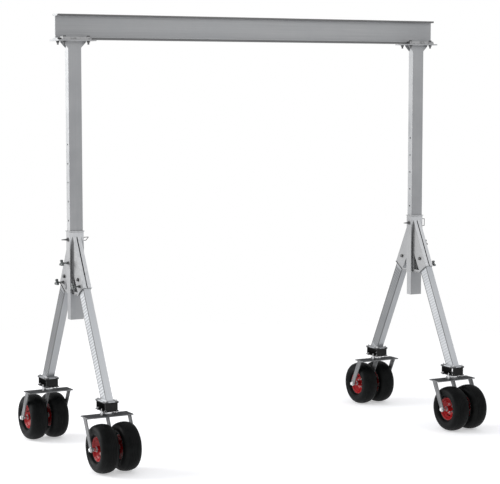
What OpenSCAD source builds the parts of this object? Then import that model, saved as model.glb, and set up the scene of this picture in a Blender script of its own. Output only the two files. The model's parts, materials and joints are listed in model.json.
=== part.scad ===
// Portable gantry crane: an I-beam clamped on two telescopic A-frames, each on twin-wheel swivel casters.
// Millimetres. +X runs along the beam, +Y to the back, +Z up. The origin is on the floor under the middle.

/* [Beam] */
// Length of the I-beam
beam_len = 3750; // [3000:10:4600]
// Height of the I-beam
beam_h = 210; // [160:5:260]
// Width of the beam's flanges
beam_w = 104; // [84:2:130]
// Thickness of the beam's flanges
flange_t = 15; // [10:1:20]
// Thickness of the beam's web
web_t = 9; // [6:1:14]
// Radius where the web meets a flange
root_r = 8; // [4:1:12]

/* [Posts] */
// Distance between the posts, centre to centre
post_spacing = 3432; // [2700:8:4200]
// Length of a post's tube
post_len = 2315; // [1900:5:2700]
// Size of a post's tube along the beam
post_x = 116; // [96:2:140]
// Size of a post's tube across the beam
post_y = 65; // [54:1:80]
// Wall of a post's tube
post_wall = 5; // [4:1:8]
// Distance between height holes
hole_pitch = 158; // [130:2:190]
// Height holes above the one in use
holes_above = 5; // [3:1:5]
// Height holes below the one in use
holes_below = 1; // [0:1:2]
// From a post's lower end up to the hole in use
post_tail = 671; // [600:1:720]

/* [Beam clamps] */
// Length of the plate on a post's head, along the beam
head_len = 340; // [280:5:400]
// Thickness of the head plate
head_t = 10; // [8:1:16]
// Rim of head plate outside each clamp jaw
head_rim = 7.5; // [4:0.5:20]
// Length of a clamp jaw
jaw_len = 260; // [240:5:280]
// Width of a clamp jaw outside the flange
jaw_w = 35; // [32:1:44]
// How far a jaw's lip reaches over the flange
lip_reach = 16; // [8:1:24]
// Thickness of a jaw's lip
lip_t = 8; // [6:1:14]
// Diameter of the clamp bolts
clamp_bolt_d = 16; // [12:2:16]
// Distance between clamp bolts along the beam
clamp_bolt_x = 216; // [180:4:220]
// Length of bolt below the head plate
clamp_bolt_tail = 30; // [26:1:40]
// Width of the gusset on each side of a post's head
gusset_w = 44; // [30:1:60]
// Height of the gussets
gusset_h = 56; // [40:1:90]
// Thickness of the gussets
gusset_t = 6; // [4:1:10]

/* [A-frame brackets] */
// Length of the sleeve round the post
sleeve_len = 528; // [480:2:620]
// Wall of the sleeve
sleeve_wall = 4; // [3:0.5:6]
// Gap between post and sleeve on each side
sleeve_gap = 1; // [0.5:0.25:2]
// From the leg pivots down to the sleeve's lower end
sleeve_drop = 133; // [115:1:150]
// Width of the rim round the sleeve's top
collar_w = 6; // [3:1:12]
// From the sleeve's top down to the height pin
pin_drop = 72; // [60:1:90]
// Half the distance between the two leg pivots
pivot_y = 145; // [135:1:165]
// Thickness of a bracket cheek
cheek_t = 6; // [4:1:8]
// Gap between a leg and each cheek
cheek_gap = 0.4; // [0.4:0.1:1.5]
// Slit between the two back flanges of a bracket
slit_w = 10; // [4:1:20]
// Gap between a leg's back and the flanges
leg_back_gap = 5; // [2:1:8]
// Cheek length below the pivot, along the leg
cheek_drop = 100; // [86:1:120]
// Width of the folded lip along a cheek's lower edge
lip_w = 7; // [4:1:10]

/* [Legs] */
// Leg's lean from upright, in degrees
lean = 27.1; // [22:0.1:31]
// From the pivot to the foot plate, along the leg
leg_len = 1047; // [900:1:1200]
// Size of a leg's tube along the beam
leg_x = 60; // [50:1:70]
// Size of a leg's tube across the beam
leg_w = 105; // [90:1:118]
// Wall of a leg's tube
leg_wall = 5; // [4:1:8]
// Thickness of the foot plate
foot_t = 8; // [6:1:12]
// Height of the adapter box under the foot plate
adapter_h = 76; // [60:1:100]
// Size of the adapter box along the beam
adapter_x = 110; // [100:1:130]
// Size of the adapter box across the beam
adapter_y = 178; // [160:1:200]
// Wall of the adapter box
adapter_wall = 7; // [5:1:10]
// Overhang of the adapter's top and bottom flanges
adapter_rim = 6; // [3:1:10]
// Diameter of a leg's pivot bolt
pivot_d = 20; // [16:1:24]
// From the pivot down to the leg's lock knob, along the leg
knob_drop = 60; // [52:1:70]

/* [Casters] */
// Height of the swivel bearing between fork and adapter
bearing_h = 38; // [36:1:50]
// Diameter of the swivel bearing
bearing_d = 112; // [90:1:120]
// Diameter of the kingpin
kingpin_d = 30; // [24:1:40]
// Length of the fork's top plate, along the axle
fork_len = 408; // [380:2:480]
// Depth of the fork's top plate
fork_depth = 140; // [136:2:170]
// Thickness of the fork's plate and arms
fork_t = 9; // [8:1:14]
// Distance between the two outer arms, centre to centre
arm_spacing = 392; // [360:2:460]
// Width of an arm at the plate
arm_top_w = 60; // [50:1:70]
// Width of an arm at the axle
arm_end_w = 48; // [44:1:60]
// From the floor to the top of the fork's plate
fork_top = 446; // [430:1:520]
// Distance from the swivel axis to the axle
trail = 123; // [100:1:150]
// Diameter of the axle
axle_d = 20; // [16:1:24]
// Diameter of the direction lock's nose
lock_d = 9; // [7:1:10]
// Distance from the swivel axis to the direction lock
lock_r = 66; // [66:0.5:70]

/* [Wheels] */
// Diameter of a tyre
tyre_d = 400; // [360:5:400]
// Width of a tyre
tyre_w = 158; // [140:2:164]
// Thickness of a tyre's wall
tyre_wall = 10; // [7:1:14]
// Diameter of a rim at its edge
rim_d = 204; // [180:2:230]
// Width of a rim between its outer faces
rim_w = 96; // [86:2:104]
// Thickness of a rim's sheet
rim_t = 4; // [3:0.5:6]
// Length of a wheel's hub
hub_len = 110; // [100:2:140]

/* [Hidden] */
ENDS = ["left", "right"];
ROWS = ["front", "back"];
SIDES = ["outer", "inner"];
END_PIECES = ["post", "clamp_jaws", "clamp_bolts", "bracket", "pivot_bolts", "height_pin", "sleeve_knob"];
CORNER_PIECES = ["leg", "adapter", "swivel_head", "fork", "axle", "direction_lock", "leg_knob"];

// Clearances: parts that slide or turn on each other, and bolts in their holes
run_gap = 0.3;
fit_gap = 0.05;
bolt_gap = 0.5;

// Heights, from the floor up
wheel_r = tyre_d / 2;
adapter_z = fork_top + bearing_h;
foot_z = adapter_z + adapter_h + foot_t;
foot_y = pivot_y + leg_len * sin(lean);
pivot_z = foot_z + leg_len * cos(lean);
sleeve_z = pivot_z - sleeve_drop;
sleeve_top = sleeve_z + sleeve_len;
pin_z = sleeve_top - pin_drop;
post_z = pin_z - post_tail;
head_z = post_z + post_len;
beam_z = head_z + head_t + run_gap;

// Beam clamps
jaw_y = beam_w / 2 + run_gap;
clamp_bolt_y = jaw_y + jaw_w / 2;
head_w = 2 * (jaw_y + jaw_w + head_rim);
jaw_top = beam_z + flange_t + run_gap + lip_t;
gusset_lip = 10;

// Sleeve, cheeks and the knobs that press on post and legs
sleeve_x = post_x / 2 + sleeve_gap + sleeve_wall;
sleeve_y = post_y / 2 + sleeve_gap + sleeve_wall;
collar_h = 6;
cheek_x = leg_x / 2 + cheek_gap;
cheek_out = cheek_x + cheek_t;
back_out = leg_w / 2 + leg_back_gap + cheek_t;
cheek_corner_drop = 14;
window_rim = 24;
window_rise = 165;
lip_t2 = 3;
pin_d = 16;
knob_screw_d = 12;
knob_boss_d = 26;
knob_boss_t = 8;
knob_stem = 40;
knob_head_t = 25;
knob_lobes = 3;
lobe_r = 13;
sleeve_knob_z = pivot_z + 127;

// Height pin
nose_len = 45;
nose_tip_d = 6;
pin_stand = 14;
pin_collar_d = 26;
pin_collar_t = 8;
ring_x = 40;
ring_w = 64;
ring_d = 6;
ring_turn = [60, 0];

// Swivel bearing and direction lock
head_plate_d = 140;
head_plate_t = 6;
race_z = fork_top + 16;
lock_angle = 204;
lock_travel = 8;
lock_knob_d = 20;
lock_stem_d = 8;
lock_lift = 1;

// Axle, spacers and fasteners
arm_x = arm_spacing / 2;
arm_in = arm_x - fork_t / 2;
arm_out = arm_x + fork_t / 2;
wheel_x = arm_x / 2;
spacer_d = 34;
nut_t = 13;
washer_t = 3;
hex_ratio = 1.5;

// Wheel sections
seat_r = rim_d / 2 - 11;
shoulder_r = 45;
bead_r = 40;
bead_rise = 6;
hub_d = 40;
rim_slots = 5;
slot_d = 30;

// A flat shape drawn in (Y, Z), carried along X from x0 to x1
module along_x(x0, x1) {
    translate([x0, 0, 0]) rotate([90, 0, 90]) linear_extrude(x1 - x0) children();
}

// A rod along X from x0 to x1, centred at (y, z)
module rod_x(d, x0, x1, y = 0, z = 0, fn = 48) {
    translate([x0, y, z]) rotate([0, 90, 0]) cylinder(d = d, h = x1 - x0, $fn = fn);
}

// A plate centred on (x, y) with its underside at z
module plate(size, x = 0, y = 0, z = 0) {
    translate([x - size[0] / 2, y - size[1] / 2, z]) cube(size);
}

// Mirrors its children to the left end (side = -1) and to the front (row = -1)
module mirrored(side, row = 1) {
    mirror([side < 0 ? 1 : 0, 0, 0]) mirror([0, row < 0 ? 1 : 0, 0]) children();
}

// Carries its children to a post's axis, turned so that +X points away from the crane's middle
module at_end(side) {
    translate([side * post_spacing / 2, 0, 0]) mirrored(side) children();
}

// A hexagonal nut or bolt head along Z, sized for a thread of diameter d
module hex(d, t) {
    cylinder(d = d * hex_ratio * 2 / sqrt(3), h = t, $fn = 6);
}

// A point beside a leg's centre line: s along it from the pivot, o outwards from it
function beside_leg(s, o) = [
    pivot_y + s * sin(lean) + o * cos(lean),
    pivot_z - s * cos(lean) + o * sin(lean)];

// How far along the leg the line at offset o crosses the height z, or the upright y
function s_at_z(z, o) = (pivot_z + o * sin(lean) - z) / cos(lean);
function s_at_y(y, o) = (y - pivot_y - o * cos(lean)) / sin(lean);

// Where a straight edge from p touches a circle at c; side is 1 or -1
function tangent_point(p, c, r, side) =
    let (d = p - c, a = atan2(d[1], d[0]), b = acos(r / norm(d)))
    c + r * [cos(a + side * b), sin(a + side * b)];

// ---------- beam and posts ----------

module beam_section() {
    half_web = web_t / 2;
    square_fillet = half_web + root_r;
    difference() {
        union() {
            for (z = [0, beam_h - flange_t])
                translate([-beam_w / 2, z]) square([beam_w, flange_t]);
            translate([-half_web, 0]) square([web_t, beam_h]);
            for (z = [flange_t, beam_h - flange_t - root_r])
                translate([-square_fillet, z]) square([2 * square_fillet, root_r]);
        }
        for (y = [-square_fillet, square_fillet], z = [flange_t + root_r, beam_h - flange_t - root_r])
            translate([y, z]) circle(r = root_r, $fn = 48);
    }
}

module beam() {
    color("silver")
        translate([0, 0, beam_z]) along_x(-beam_len / 2, beam_len / 2) beam_section();
}

module tube_section(x, y, wall) {
    difference() {
        square([x, y], center = true);
        square([x - 2 * wall, y - 2 * wall], center = true);
    }
}

module gusset() {
    rotate([90, 0, 0]) linear_extrude(gusset_t)
        polygon([
            [post_x / 2, head_z],
            [post_x / 2 + gusset_w, head_z],
            [post_x / 2 + gusset_w, head_z - gusset_lip],
            [post_x / 2, head_z - gusset_h]]);
}

module post(side) {
    color("silver") at_end(side) difference() {
        union() {
            translate([0, 0, post_z]) linear_extrude(post_len) tube_section(post_x, post_y, post_wall);
            plate([head_len, head_w, head_t], z = head_z);
            for (x = [1, -1], y = [gusset_t - post_y / 2, post_y / 2])
                mirrored(x) translate([0, y, 0]) gusset();
        }
        for (i = [-holes_below:holes_above])
            rod_x(pin_d + 2 * fit_gap, -post_x, post_x, z = pin_z + i * hole_pitch);
        at_clamp_bolts() cylinder(d = clamp_bolt_d + 2 * bolt_gap, h = head_z + beam_h, $fn = 32);
    }
}

module at_clamp_bolts() {
    for (x = [-1, 1], y = [-1, 1])
        translate([x * clamp_bolt_x / 2, y * clamp_bolt_y, 0]) children();
}

module clamp_jaws(side) {
    color("gray") at_end(side) difference() {
        for (y = [1, -1]) mirrored(1, y) along_x(-jaw_len / 2, jaw_len / 2) {
            translate([jaw_y, head_z + head_t]) square([jaw_w, jaw_top - head_z - head_t]);
            translate([jaw_y - lip_reach, jaw_top - lip_t]) square([lip_reach + jaw_w, lip_t]);
        }
        at_clamp_bolts() cylinder(d = clamp_bolt_d + 2 * bolt_gap, h = head_z + beam_h, $fn = 32);
    }
}

module clamp_bolts(side) {
    color("dimgray") at_end(side) at_clamp_bolts() {
        translate([0, 0, jaw_top]) hex(clamp_bolt_d, nut_t - 3);
        translate([0, 0, head_z - clamp_bolt_tail])
            cylinder(d = clamp_bolt_d, h = clamp_bolt_tail + jaw_top - head_z, $fn = 32);
        translate([0, 0, head_z - nut_t]) hex(clamp_bolt_d, nut_t);
    }
}

// ---------- A-frame brackets ----------

// Outline of one cheek, in (Y, Z), from the sleeve's face out to the leg's back flange
module cheek_outline() {
    polygon([
        [sleeve_y, sleeve_z],
        [sleeve_y, beside_leg(s_at_y(sleeve_y, back_out), back_out)[1]],
        beside_leg(cheek_drop, back_out),
        beside_leg(cheek_drop + cheek_corner_drop, -leg_w / 2),
        [beside_leg(cheek_drop + cheek_corner_drop, -leg_w / 2)[0] - 4, sleeve_z]]);
}

// The three-cornered window beside the sleeve
module cheek_window() {
    x0 = sleeve_y + window_rim / 2;
    z0 = sleeve_z + window_rim;
    polygon([[x0, z0], [x0, z0 + window_rise - window_rim], [x0 + window_rise / 2, z0]]);
}

// The strip behind the leg that the cheeks' folded flanges make, between two distances along it
module back_strip(s0, s1) {
    polygon([
        beside_leg(s0, back_out - cheek_t), beside_leg(s0, back_out),
        beside_leg(s1, back_out), beside_leg(s1, back_out - cheek_t)]);
}

// The lip folded out along a cheek's lower edge
module lower_lip() {
    c = beside_leg(cheek_drop + cheek_corner_drop, -leg_w / 2);
    polygon([
        beside_leg(cheek_drop, back_out), beside_leg(cheek_drop - lip_t2, back_out),
        beside_leg(cheek_drop + cheek_corner_drop - lip_t2, -leg_w / 2),
        [c[0] - 4, sleeve_z + lip_t2], [sleeve_y, sleeve_z + lip_t2],
        [sleeve_y, sleeve_z], [c[0] - 4, sleeve_z], c]);
}

module knob_boss(x, y, z) {
    rod_x(knob_boss_d, x, x + knob_boss_t, y, z);
}

module bracket(side) {
    knob_at = beside_leg(knob_drop, 0);
    color("gainsboro") at_end(side) difference() {
        union() {
            translate([0, 0, sleeve_z]) linear_extrude(sleeve_len)
                tube_section(2 * sleeve_x, 2 * sleeve_y, sleeve_wall);
            translate([0, 0, sleeve_top - collar_h]) linear_extrude(collar_h)
                tube_section(2 * (sleeve_x + collar_w), 2 * (sleeve_y + collar_w), collar_w + sleeve_wall);
            for (y = [1, -1]) mirrored(1, y) {
                for (x = [1, -1]) mirrored(x) {
                    along_x(cheek_x, cheek_out) difference() {
                        cheek_outline();
                        cheek_window();
                    }
                    along_x(slit_w / 2, cheek_out) difference() {
                        back_strip(s_at_y(0, back_out), cheek_drop);
                        translate([-sleeve_y, 0]) square([2 * sleeve_y, 2 * pivot_z]);
                    }
                    along_x(cheek_x, cheek_out + lip_w) lower_lip();
                }
                knob_boss(cheek_out, knob_at[0], knob_at[1]);
            }
            knob_boss(sleeve_x, 0, sleeve_knob_z);
        }
        for (y = [1, -1]) mirrored(1, y) {
            rod_x(pivot_d + 2 * bolt_gap, -2 * cheek_out, 2 * cheek_out, pivot_y, pivot_z);
            rod_x(knob_screw_d + 2 * fit_gap, leg_x / 4, 2 * cheek_out, knob_at[0], knob_at[1]);
        }
        rod_x(knob_screw_d + 2 * fit_gap, post_x / 4, 2 * sleeve_x, 0, sleeve_knob_z);
        rod_x(pin_d + 2 * fit_gap, -2 * sleeve_x, 2 * sleeve_x, 0, pin_z);
    }
}

module pivot_bolts(side) {
    color("dimgray") at_end(side) for (y = [1, -1]) translate([0, y * pivot_y, pivot_z]) {
        rod_x(pivot_d, -cheek_out - washer_t, cheek_out + washer_t);
        for (x = [1, -1]) mirrored(x) translate([cheek_out, 0, 0]) rotate([0, 90, 0]) {
            cylinder(d = 2 * pivot_d, h = washer_t, $fn = 48);
            translate([0, 0, washer_t]) hex(pivot_d, nut_t);
        }
    }
}

// A lobed hand knob on a screw along +X: the screw's tip is at x0 and the stem starts at x1
module hand_knob(x0, x1, y, z) {
    rod_x(knob_screw_d, x0, x1 + knob_stem, y, z);
    rod_x(pivot_d, x1, x1 + 6, y, z);
    translate([x1 + knob_stem, y, z]) rotate([0, 90, 0]) {
        cylinder(r = lobe_r + 4, h = knob_head_t, $fn = 48);
        for (i = [1:knob_lobes]) rotate(i * 360 / knob_lobes)
            translate([lobe_r + 5, 0, 0]) cylinder(r = lobe_r, h = knob_head_t - 4, $fn = 32);
    }
}

module sleeve_knob(side) {
    color("dimgray") at_end(side)
        hand_knob(post_x / 2 + run_gap, sleeve_x + knob_boss_t + run_gap, 0, sleeve_knob_z);
}

module leg_knob(side, row) {
    knob_at = beside_leg(knob_drop, 0);
    color("dimgray") at_end(side) mirrored(1, row)
        hand_knob(leg_x / 2 + run_gap, cheek_out + knob_boss_t + run_gap, knob_at[0], knob_at[1]);
}

// The height pin goes in from +X at both ends; its pull ring is turned differently at each
module height_pin(side, turn) {
    x0 = sleeve_x + run_gap;
    ring_z = ring_w / 2;
    color("darkgray") translate([side * post_spacing / 2, 0, pin_z]) {
        rod_x(pin_d, -sleeve_x - pin_stand, x0 + pin_collar_t);
        translate([-sleeve_x - pin_stand, 0, 0]) rotate([0, -90, 0])
            cylinder(d1 = pin_d, d2 = nose_tip_d, h = nose_len, $fn = 48);
        rod_x(pin_collar_d, x0, x0 + pin_collar_t);
        translate([x0 + pin_collar_t - ring_d / 4, 0, 0]) rotate([turn, 0, 0]) {
            for (x = [ring_d / 2, ring_x]) {
                translate([x, 0, -ring_z]) cylinder(d = ring_d, h = ring_w, $fn = 24);
                for (z = [-ring_z, ring_z]) translate([x, 0, z]) sphere(d = ring_d, $fn = 24);
            }
            for (z = [-ring_z, ring_z]) rod_x(ring_d, ring_d / 2, ring_x, 0, z, 24);
        }
    }
}

// ---------- legs ----------

module leg_side_outline() {
    translate([pivot_y, pivot_z]) circle(d = leg_w, $fn = 96);
    polygon([
        beside_leg(0, -leg_w / 2), beside_leg(0, leg_w / 2),
        beside_leg(s_at_z(foot_z, leg_w / 2), leg_w / 2),
        beside_leg(s_at_z(foot_z, -leg_w / 2), -leg_w / 2)]);
}

module leg_hollow() {
    half = leg_w / 2 - leg_wall;
    polygon([
        beside_leg(-leg_w, -half), beside_leg(-leg_w, half),
        beside_leg(s_at_z(foot_z, half), half), beside_leg(s_at_z(foot_z, -half), -half)]);
}

module leg(side, row) {
    rim = 2 * adapter_rim;
    color("gainsboro") at_end(side) mirrored(1, row) {
        difference() {
            along_x(-leg_x / 2, leg_x / 2) leg_side_outline();
            along_x(leg_wall - leg_x / 2, leg_x / 2 - leg_wall) leg_hollow();
            rod_x(pivot_d + 2 * fit_gap, -leg_x, leg_x, pivot_y, pivot_z);
        }
        plate([adapter_x + rim, adapter_y + rim, foot_t], y = foot_y, z = foot_z - foot_t);
    }
}

// The direction lock stands at the same corner of every caster, so it is not mirrored
module at_lock(side, row) {
    translate([side * post_spacing / 2, row * foot_y, 0]) rotate(lock_angle)
        translate([lock_r, 0, 0]) children();
}

module adapter(side, row) {
    rim = 2 * adapter_rim;
    color("#1c1c1c") difference() {
        at_end(side) mirrored(1, row) {
            difference() {
                plate([adapter_x, adapter_y, adapter_h], y = foot_y, z = adapter_z);
                plate([2 * adapter_x, adapter_y - 2 * adapter_wall, adapter_h - 2 * adapter_wall],
                    y = foot_y, z = adapter_z + adapter_wall);
            }
            for (z = [adapter_z, adapter_z + adapter_h - adapter_wall])
                plate([adapter_x + rim, adapter_y + rim, adapter_wall], y = foot_y, z = z);
        }
        at_lock(side, row) translate([0, 0, adapter_z - 1])
            cylinder(d = lock_stem_d + 2 * fit_gap, h = adapter_wall + 2, $fn = 32);
    }
}

// ---------- casters ----------

module swivel_head(side, row) {
    color("silver") translate([side * post_spacing / 2, row * foot_y, 0]) difference() {
        union() {
            translate([0, 0, adapter_z - head_plate_t])
                cylinder(d = 2 * (lock_r - lock_knob_d / 2 - 2), h = head_plate_t, $fn = 96);
            translate([0, 0, race_z + run_gap])
                cylinder(d = bearing_d - 12, h = adapter_z - race_z - run_gap, $fn = 96);
        }
        cylinder(d = kingpin_d + 2 * fit_gap, h = adapter_z + 1, $fn = 48);
    }
}

// One arm of the fork in (Y, Z): straight edges from under the plate to the axle's round end
module arm_outline() {
    tip = [trail, wheel_r];
    r = arm_end_w / 2;
    top = fork_top - fork_t / 2;
    near = [-arm_top_w / 2, top];
    far = [arm_top_w / 2, top];
    translate(tip) circle(r = r, $fn = 64);
    polygon([near, far, tangent_point(far, tip, r, -1), tip, tangent_point(near, tip, r, 1)]);
}

module fork(side, row) {
    color("slategray") translate([side * post_spacing / 2, row * foot_y, 0]) difference() {
        mirrored(1, row) difference() {
            union() {
                plate([fork_len, fork_depth, fork_t], z = fork_top - fork_t);
                for (x = [-arm_x, 0, arm_x]) along_x(x - fork_t / 2, x + fork_t / 2) arm_outline();
                translate([0, 0, fork_top]) cylinder(d = bearing_d, h = race_z - fork_top, $fn = 96);
                translate([0, 0, fork_top])
                    cylinder(d = kingpin_d, h = adapter_z - 4 - fork_top, $fn = 48);
            }
            rod_x(axle_d + 2 * bolt_gap, -fork_len, fork_len, trail, wheel_r);
        }
        for (a = [0:90:270]) rotate(a + lock_angle) translate([lock_r, 0, 0])
            cylinder(d = lock_d + 2 * fit_gap, h = 2 * fork_top, $fn = 32);
    }
}

module axle(side, row) {
    long = wheel_x - hub_len / 2 - fork_t / 2 - 2 * run_gap;
    color("lightgray") translate([side * post_spacing / 2, row * (foot_y + trail), wheel_r]) {
        rod_x(axle_d, -arm_out - washer_t, arm_out + washer_t);
        for (x = [1, -1]) mirrored(x) {
            translate([arm_out, 0, 0]) rotate([0, 90, 0]) {
                cylinder(d = 2 * axle_d, h = washer_t, $fn = 48);
                translate([0, 0, washer_t]) hex(axle_d, nut_t);
            }
            for (x0 = [fork_t / 2, arm_in - long]) difference() {
                rod_x(spacer_d, x0, x0 + long);
                rod_x(axle_d + 2 * bolt_gap, x0 - 1, x0 + long + 1);
            }
        }
    }
}

module direction_lock(side, row) {
    z0 = fork_top + lock_lift;
    z1 = fork_top + lock_travel + lock_lift;
    color("lightgray") at_lock(side, row) {
        translate([0, 0, z0]) cylinder(d = lock_d, h = z1 - z0, $fn = 32);
        translate([0, 0, z1]) cylinder(d = lock_knob_d, h = adapter_z - lock_lift - z1, $fn = 48);
        translate([0, 0, z1]) cylinder(d = lock_stem_d, h = adapter_z + 3 * adapter_wall - z1, $fn = 32);
    }
}

// ---------- wheels ----------

// A rounded box in (radius, width): from r0 to r1, half width w, corners ra near the hub and rb outside
module rounded_section(r0, r1, w, ra, rb) {
    for (y = [1, -1]) mirror([0, y < 0 ? 1 : 0]) {
        translate([r0 + ra, 0]) square([r1 - rb - r0 - ra, w]);
        translate([r0, 0]) square([ra, w - ra]);
        translate([r1 - rb, 0]) square([rb, w - rb]);
        translate([r0 + ra, w - ra]) circle(r = ra, $fn = 96);
        translate([r1 - rb, w - rb]) circle(r = rb, $fn = 96);
    }
}

module at_wheel(side, row, inner) {
    translate([
        side * post_spacing / 2 + side * inner * wheel_x,
        row * (foot_y + trail),
        wheel_r]) rotate([0, 90, 0]) children();
}

module tyre(side, row, inner) {
    bead_w = rim_w / 2 - rim_t;
    void_r = rim_d / 2 + bead_rise;
    color("#1a1b1b") at_wheel(side, row, inner) rotate_extrude($fn = 128) difference() {
        rounded_section(seat_r, wheel_r, tyre_w / 2, bead_r, shoulder_r);
        rounded_section(void_r, wheel_r - tyre_wall, tyre_w / 2 - tyre_wall,
            bead_r - tyre_wall, shoulder_r - tyre_wall);
        translate([seat_r - 1, tyre_wall - bead_w])
            square([void_r - seat_r + bead_r, 2 * (bead_w - tyre_wall)]);
        for (y = [bead_w, -2 * bead_w - tyre_w])
            translate([0, y]) square([rim_d / 2, tyre_w + bead_w]);
    }
}

module rim(side, row, inner) {
    half = rim_w / 2;
    color("firebrick") at_wheel(side, row, inner) difference() {
        rotate_extrude($fn = 128) {
            translate([seat_r - rim_t, -half]) square([rim_t, rim_w]);
            for (y = [-half, half - rim_t])
                translate([seat_r - rim_t, y]) square([rim_d / 2 - seat_r + rim_t, rim_t]);
            translate([hub_d / 2 - rim_t, -rim_t]) square([seat_r - hub_d / 2 + rim_t, 2 * rim_t]);
            translate([0, -hub_len / 2]) square([hub_d / 2, hub_len]);
        }
        translate([0, 0, -hub_len]) cylinder(d = axle_d + 2 * fit_gap, h = 2 * hub_len, $fn = 48);
        for (i = [1:rim_slots]) rotate(i * 360 / rim_slots)
            translate([(seat_r + hub_d / 2) / 2, 0, -rim_t * 2])
                cylinder(d = slot_d, h = 4 * rim_t, $fn = 48);
    }
}

// ---------- nodes ----------

beam();
for (e = [0, 1]) {
    end = ENDS[e];
    side = 2 * e - 1;
    post(side);
    clamp_jaws(side);
    clamp_bolts(side);
    bracket(side);
    pivot_bolts(side);
    height_pin(side, ring_turn[e]);
    sleeve_knob(side);
    for (r = [0, 1]) {
        corner = str(end, "_", ROWS[r]);
        row = 2 * r - 1;
        leg(side, row);
        adapter(side, row);
        swivel_head(side, row);
        fork(side, row);
        axle(side, row);
        direction_lock(side, row);
        leg_knob(side, row);
        for (w = [0, 1]) {
            wheel = str(corner, "_", SIDES[w]);
            inner = 1 - 2 * w;
            tyre(side, row, inner);
            rim(side, row, inner);
        }
    }
}
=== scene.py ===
# %% [markdown]
# # A portable gantry crane
# The crane's frame comes ready made: every tube, plate and wheel is already in its place, in metres, +Z
# up. This lesson gives it its looks. First come the camera and the light, then one finish after
# another, and then the pieces that a plain block can't stand for: tyres, pressed rims, bolts, knobs and
# weld beads.

# %% Load the frame
import json
import math

import bmesh
import bpy
from mathutils import Matrix, Vector


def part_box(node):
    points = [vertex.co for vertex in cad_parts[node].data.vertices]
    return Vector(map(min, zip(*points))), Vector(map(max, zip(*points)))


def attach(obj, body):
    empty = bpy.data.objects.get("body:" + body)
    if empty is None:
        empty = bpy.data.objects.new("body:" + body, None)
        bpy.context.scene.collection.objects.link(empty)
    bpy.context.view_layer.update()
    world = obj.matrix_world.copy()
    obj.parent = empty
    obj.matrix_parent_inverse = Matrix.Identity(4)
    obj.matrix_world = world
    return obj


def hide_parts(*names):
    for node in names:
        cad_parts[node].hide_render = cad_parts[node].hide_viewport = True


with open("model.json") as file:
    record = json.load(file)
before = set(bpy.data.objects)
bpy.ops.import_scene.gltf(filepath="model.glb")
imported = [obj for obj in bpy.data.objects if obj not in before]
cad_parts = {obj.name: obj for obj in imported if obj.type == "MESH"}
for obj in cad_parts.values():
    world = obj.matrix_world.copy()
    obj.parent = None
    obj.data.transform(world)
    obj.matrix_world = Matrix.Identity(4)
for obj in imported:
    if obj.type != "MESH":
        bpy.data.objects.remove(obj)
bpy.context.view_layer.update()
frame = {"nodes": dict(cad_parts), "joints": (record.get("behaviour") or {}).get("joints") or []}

JOINTS = {joint["name"]: joint for joint in frame["joints"]}
ENDS = ("left", "right")
CORNERS = [f"{end}_{row}" for end in ENDS for row in ("front", "back")]
WHEELS = [f"{corner}_{side}" for corner in CORNERS for side in ("outer", "inner")]
MM = 0.001


def middle(node):
    """The centre of a node's box."""
    low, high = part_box(node)
    return (low + high) / 2


# %% [markdown]
# ## Camera
# A long lens a good way off keeps the uprights nearly parallel, as in a catalogue picture. The camera
# stands to the left, a little above the middle of the crane's height, and looks slightly down.

# %% Camera
CAMERA_PLACE = Vector((-7.237, -12.914, 3.135))
CAMERA_TURN = 29.12
CAMERA_DIP = 5.46

turn, dip = math.radians(CAMERA_TURN), math.radians(CAMERA_DIP)
looks_along = Vector((math.sin(turn) * math.cos(dip), math.cos(turn) * math.cos(dip), -math.sin(dip)))
camera = bpy.data.objects.new("camera", bpy.data.cameras.new("camera"))
bpy.context.scene.collection.objects.link(camera)
camera.location = CAMERA_PLACE
camera.rotation_mode = "QUATERNION"
camera.rotation_quaternion = looks_along.to_track_quat("-Z", "Y")
camera.data.sensor_width = 36
camera.data.lens = 120.97
camera.data.clip_end = 200
bpy.context.scene.camera = camera
bpy.context.scene.view_settings.view_transform = "Standard"
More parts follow.
